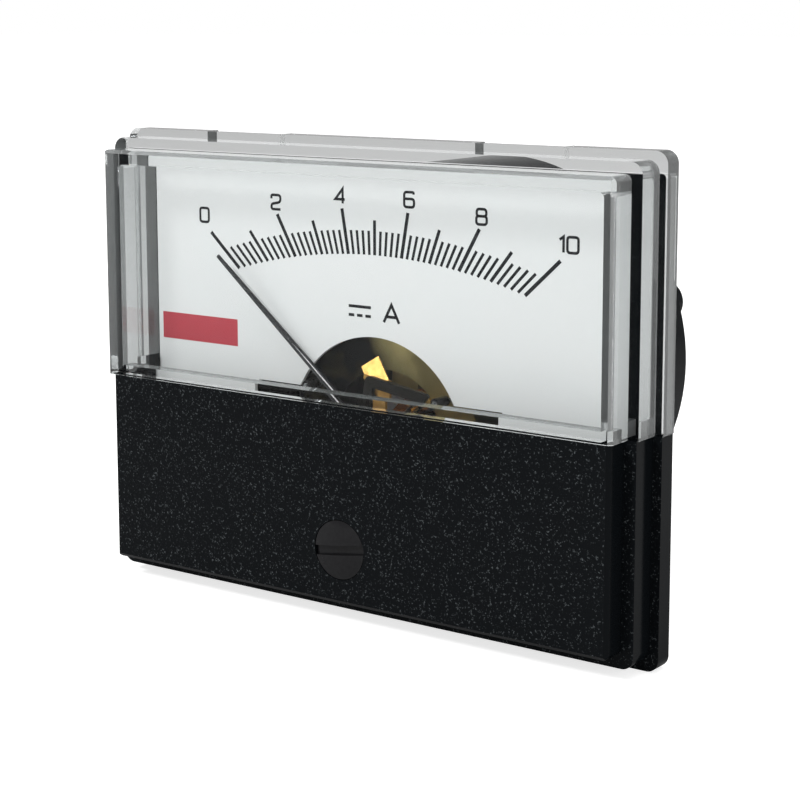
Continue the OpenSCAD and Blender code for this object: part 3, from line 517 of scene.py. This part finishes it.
# %% Numerals
def rounded_path(corners, radius=0.35, steps=4):
    """Corner points (x, z) joined by straight lines, with inner corners rounded by an arc."""
    path = [corners[0]]
    for before, here, after in zip(corners, corners[1:], corners[2:]):
        p, a, b = Vector(here), Vector(before), Vector(after)
        cut = min(radius, (a - p).length / 2, (b - p).length / 2)
        start, end = p + (a - p).normalized() * cut, p + (b - p).normalized() * cut
        for k in range(steps + 1):
            t = k / steps
            path.append(tuple(start * (1 - t) ** 2 + p * 2 * t * (1 - t) + end * t * t))
    path.append(corners[-1])
    return path


# Square-shouldered figures drawn as pen strokes in a box 1 wide and 1 high
STROKES = {
    "0": [[(0.5, 1), (0, 1), (0, 0), (1, 0), (1, 1), (0.5, 1)]],
    "1": [[(0, 0.8), (0.36, 1), (0.36, 0)]],
    "2": [[(0, 0.74), (0, 1), (1, 1), (1, 0.52), (0, 0.36), (0, 0), (1, 0)]],
    "4": [[(0.78, 0), (0.78, 1), (0, 0.28), (1, 0.28)]],
    "6": [[(0.95, 0.85), (0.95, 1), (0, 1), (0, 0), (1, 0), (1, 0.55), (0, 0.55)]],
    "8": [[(0.5, 0.54), (0.04, 0.54), (0.04, 1), (0.96, 1), (0.96, 0.54), (0.5, 0.54)],
          [(0.5, 0.54), (0, 0.54), (0, 0), (1, 0), (1, 0.54), (0.5, 0.54)]],
    "A": [[(0, 0), (0.5, 1), (1, 0)], [(0.17, 0.32), (0.83, 0.32)]],
}
SHARP = {"1", "4", "A"}
NARROW = {"1": 0.36}


def write(shape, text, centre, height, width, pen, gap=0.5):
    """Writes figures side by side, centred at (x, z) in mm."""
    widths = [NARROW.get(figure, 1.0) * width for figure in text]
    left = centre[0] - (sum(widths) + (len(text) - 1) * gap) / 2
    for figure, own_width in zip(text, widths):
        for stroke in STROKES[figure]:
            corners = [(left + u * width, centre[1] + (v - 0.5) * height) for u, v in stroke]
            ribbon(shape, corners if figure in SHARP else rounded_path(corners, 0.38), pen)
        left += own_width + gap


NUMERAL_AT = {"0": (-27.35, 18.65), "2": (-15.4, 20.95), "4": (-5.25, 22.25),
              "6": (5.15, 22.35), "8": (15.5, 20.9), "10": (27.35, 18.4)}
figures = bmesh.new()
for text, centre in NUMERAL_AT.items():
    write(figures, text, centre, 1.8, 1.45, 0.32)
scale_figures = finish_mesh("scale_figures", figures, dial_ink, "meter")
print(len(NUMERAL_AT), "numerals")

# %% [markdown]
# ## Unit and direct-current mark
# A meter for direct current carries the unit and, beside it, the common mark of a
# solid bar over three short ones. Both are drawn with the same pen strokes.

# %% Unit and direct-current mark
mark = bmesh.new()
write(mark, "A", (2.5, 8.3), 2.2, 2.3, 0.36)
ribbon(mark, [(-4.0, 8.8), (-0.6, 8.8)], 0.36)
for k in range(3):
    ribbon(mark, [(-4.0 + 1.28 * k, 7.7), (-3.16 + 1.28 * k, 7.7)], 0.36)
unit_mark = finish_mesh("unit_mark", mark, dial_ink, "meter")
print("unit mark")

# %% [markdown]
# ## Red block
# A plain block of red ink balances the print at the lower left of the dial. It
# carries no words, so it is one wide ribbon.

# %% Red block
BLOCK_LEFT, BLOCK_RIGHT, BLOCK_MIDDLE, BLOCK_HEIGHT = -34.9, -22.0, 3.67, 3.5
block = bmesh.new()
ribbon(block, [(BLOCK_LEFT, BLOCK_MIDDLE), (BLOCK_RIGHT, BLOCK_MIDDLE)], BLOCK_HEIGHT)
red_block = finish_mesh("red_block", block, red_ink, "meter")
print("red block", round(BLOCK_RIGHT - BLOCK_LEFT, 1), "by", BLOCK_HEIGHT, "mm")

# %% [markdown]
# ## Folded needle
# The pointer is a strip of thin aluminium folded to a narrow V, which makes it
# stiff and light. The paint is worn off inside the fold near the root, so a bright
# spine shows between two dark edges.

# %% Folded needle
POINTER_Y = -0.8
POINTER_FRONT = 0.15
POINTER_LEAN = math.radians(4.3)
REST = math.radians(-HALF_SWEEP)
WING_STATIONS = ((3.0, 0.50), (14.0, 0.42), (24.0, 0.32), (31.9, 0.22))
WING_SECTION = ((-1, 0.16), (-0.35, 0.03), (0.35, 0.03), (1, 0.16))
SPINE_STATIONS = ((3.2, 0.13), (9.0, 0.15), (14.0, 0.11), (17.6, 0.02))
SPINE_SECTION = ((-1, 0.04), (0, 0.14), (1, 0.04))


def on_needle(radius, side, lift):
    """Point at a radius from the pivot, a distance to the side and above the needle's front."""
    along, up = radius * math.cos(POINTER_LEAN), radius * math.sin(POINTER_LEAN)
    return Vector((side * math.cos(REST) + along * math.sin(REST),
                   POINTER_Y - POINTER_FRONT - up - lift,
                   PIVOT_Z - side * math.sin(REST) + along * math.cos(REST))) * MM


def folded_strip(name, stations, section, finish_):
    """Strip along the needle: (radius, half width) stations and (side, lift) across."""
    strip = bmesh.new()
    rows = []
    for radius, half in stations:
        rows.append([strip.verts.new(on_needle(radius, side * half, lift))
                     for side, lift in section])
    for near, far in zip(rows, rows[1:]):
        for k in range(len(section) - 1):
            strip.faces.new((near[k], near[k + 1], far[k + 1], far[k]))
    return finish_mesh(name, strip, finish_, "moving_element")


needle_wings = folded_strip("needle_wings", WING_STATIONS, WING_SECTION, pointer_paint)
sheet = needle_wings.modifiers.new("sheet", "SOLIDIFY")
sheet.thickness = 0.04 * MM
needle_spine = folded_strip("needle_spine", SPINE_STATIONS, SPINE_SECTION, bright_aluminium)
print("needle wings to", WING_STATIONS[-1][0], "mm and spine to", SPINE_STATIONS[-1][0], "mm")

# %% [markdown]
# ## Floor
# The meter stands on its lower edge on a pale studio floor. For the camera alone the
# floor glows a little, so it reads white and keeps the object's shadow, and clear
# pieces see a tenth of that glow.

# %% Floor
FLOOR_Z = cad_box[0].z - 0.02 * MM
FLOOR_GLOW, GLOW_THROUGH_CLEAR = 0.75, 0.1
floor_shape = bmesh.new()
bmesh.ops.create_grid(floor_shape, x_segments=8, y_segments=8, size=6.0)
floor_data = bpy.data.meshes.new("floor")
floor_shape.to_mesh(floor_data)
floor_shape.free()
floor = bpy.data.objects.new("floor", floor_data)
bpy.context.scene.collection.objects.link(floor)
floor.location.z = FLOOR_Z
floor_paint, tree, shader = new_finish("floor_paint", (0.60, 0.60, 0.60), 0.9)
shader.inputs["Specular IOR Level"].default_value = 0.0
ray = tree.nodes.new("ShaderNodeLightPath")
glow = tree.nodes.new("ShaderNodeEmission")
glow.inputs["Color"].default_value = (1.0, 1.0, 1.0, 1.0)
seen = math_node(tree, "MAXIMUM", ray.outputs["Is Camera Ray"],
                 math_node(tree, "MULTIPLY", ray.outputs["Is Transmission Ray"],
                           GLOW_THROUGH_CLEAR))
tree.links.new(math_node(tree, "MULTIPLY", seen, FLOOR_GLOW), glow.inputs["Strength"])
both = tree.nodes.new("ShaderNodeAddShader")
tree.links.new(shader.outputs["BSDF"], both.inputs[0])
tree.links.new(glow.outputs["Emission"], both.inputs[1])
tree.links.new(both.outputs["Shader"], tree.nodes["Material Output"].inputs["Surface"])
floor_data.materials.append(floor_paint)
print("floor at", round(FLOOR_Z / MM, 2), "mm")

# %% [markdown]
# ## Light
# Soft studio light: a key lamp above and to the left, small enough for the needle to
# cast a soft shadow, a weaker one at the right to draw the stepped side, a broad one
# on top, and a pale world all round. The camera sees the world white. Metal and glass
# see it as a room that is pale at the horizon and greyer overhead, and it lights the
# object at an even, dimmer level.

# %% Light
def soft_lamp(name, at, size, watts, aim=(0, 0, 0)):
    """Area lamp of size metres at a point, turned towards another point."""
    lamp = bpy.data.objects.new(name, bpy.data.lights.new(name, "AREA"))
    lamp.data.shape = "RECTANGLE"
    lamp.data.size, lamp.data.size_y = size
    lamp.data.energy = watts
    lamp.location = at
    lamp.rotation_mode = "QUATERNION"
    lamp.rotation_quaternion = (Vector(aim) - Vector(at)).to_track_quat("-Z", "Y")
    bpy.context.scene.collection.objects.link(lamp)
    return lamp


soft_lamp("key_lamp", (-0.35, -0.75, 0.75), (0.24, 0.2), 7.0)
soft_lamp("side_lamp", (0.9, -0.25, 0.35), (0.35, 0.6), 1.9)
soft_lamp("top_lamp", (0.1, 0.15, 0.9), (0.8, 0.5), 3.2)

world = bpy.data.worlds.new("studio")
world.use_nodes = True
bpy.context.scene.world = world
tree = world.node_tree
background = tree.nodes["Background"]
background.inputs["Color"].default_value = (1.0, 1.0, 1.0, 1.0)
ray = tree.nodes.new("ShaderNodeLightPath")
mirrored = math_node(tree, "MAXIMUM", ray.outputs["Is Glossy Ray"],
                     ray.outputs["Is Transmission Ray"])
where = tree.nodes.new("ShaderNodeTexCoord")
height = tree.nodes.new("ShaderNodeSeparateXYZ")
tree.links.new(where.outputs["Generated"], height.inputs["Vector"])
HORIZON, OVERHEAD, EXTRA_THROUGH_CLEAR, SOFT_LIGHT = 0.5, 0.22, 0.45, 0.55
room = math_node(tree, "ADD", remap(tree, height.outputs["Z"], 0.12, 0.45, HORIZON, OVERHEAD),
                 math_node(tree, "MULTIPLY", ray.outputs["Is Transmission Ray"],
                           EXTRA_THROUGH_CLEAR))
strength = math_node(tree, "ADD", SOFT_LIGHT, math_node(
    tree, "MULTIPLY", mirrored, math_node(tree, "SUBTRACT", room, SOFT_LIGHT)))
tree.links.new(math_node(tree, "MAXIMUM", strength, ray.outputs["Is Camera Ray"]),
               background.inputs["Strength"])
bpy.context.scene.view_settings.view_transform = "Standard"
print("three lamps and a pale world")
